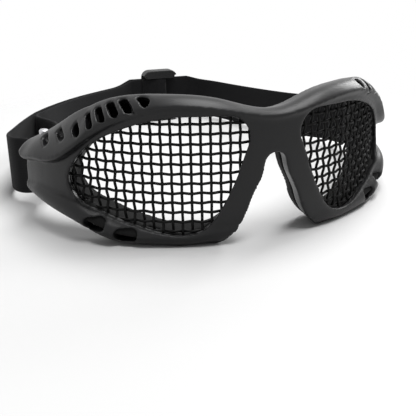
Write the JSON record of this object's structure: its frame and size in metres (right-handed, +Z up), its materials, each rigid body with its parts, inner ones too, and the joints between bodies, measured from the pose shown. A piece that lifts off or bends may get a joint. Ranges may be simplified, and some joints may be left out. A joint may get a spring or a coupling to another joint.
{
  "type": "mesh safety goggles",
  "caption": "Wrap-around safety goggles with woven wire lenses, a vented brow and cheek guard, a soft inner face frame and an elastic head strap with a slider.",
  "frame": {"origin": "on the resting surface, under the middle of the whole goggles' box", "axes": "+Z up, -Y the wearer's front where the lenses are, +X the wearer's left"},
  "size_m": [0.1745, 0.2099, 0.0555],
  "materials": {
    "frame_plastic": "satin moulded black plastic",
    "liner_rubber": "soft matte black rubber",
    "mesh_steel": "woven steel wire with black paint",
    "pin_steel": "plain steel",
    "strap_webbing": "woven black elastic webbing",
    "slider_plastic": "matte moulded black plastic"
  },
  "bodies": {
    "goggles": {"front_frame": "frame_plastic", "inner_frame": "liner_rubber", "right_mesh": "mesh_steel", "left_mesh": "mesh_steel", "right_strap_pin": "pin_steel", "left_strap_pin": "pin_steel", "right_strap_loop": "strap_webbing", "left_strap_loop": "strap_webbing", "strap_band": "strap_webbing", "strap_return": "strap_webbing"},
    "slider": {"slider_buckle": "slider_plastic", "slider_strap_loop": "strap_webbing"}
  },
  "joints": [
    {"name": "slider_slide", "type": "slide", "parent": "goggles", "child": "slider", "axis": [1, 0, 0], "range_m": [-0.008, 0.008], "deforming": ["strap_return"]}
  ]
}
